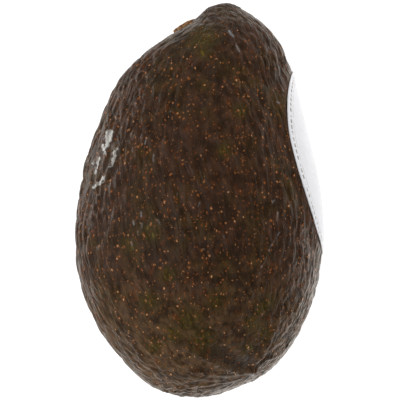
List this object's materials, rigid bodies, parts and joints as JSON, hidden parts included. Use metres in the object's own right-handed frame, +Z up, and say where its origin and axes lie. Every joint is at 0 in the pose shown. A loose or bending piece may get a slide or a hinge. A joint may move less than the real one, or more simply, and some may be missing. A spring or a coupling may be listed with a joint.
{
  "type": "avocado",
  "caption": "Whole dark avocado with a pebbled skin, lying on its side, with its dry stem button and a blank oval sticker wrapped round one side.",
  "frame": {"origin": "bottom centre of the bounding box, on the surface that the fruit lies on", "axes": "+Y along the fruit's length towards its stem end, +X towards the side with the sticker, +Z up from the surface"},
  "size_m": [0.0633, 0.0999, 0.0589],
  "materials": {
    "skin": "satin",
    "dry_stem": "matte",
    "sticker_paper": "satin"
  },
  "bodies": {
    "root": {"fruit": "skin", "stem_button": "dry_stem", "sticker": "sticker_paper"}
  },
  "joints": []
}
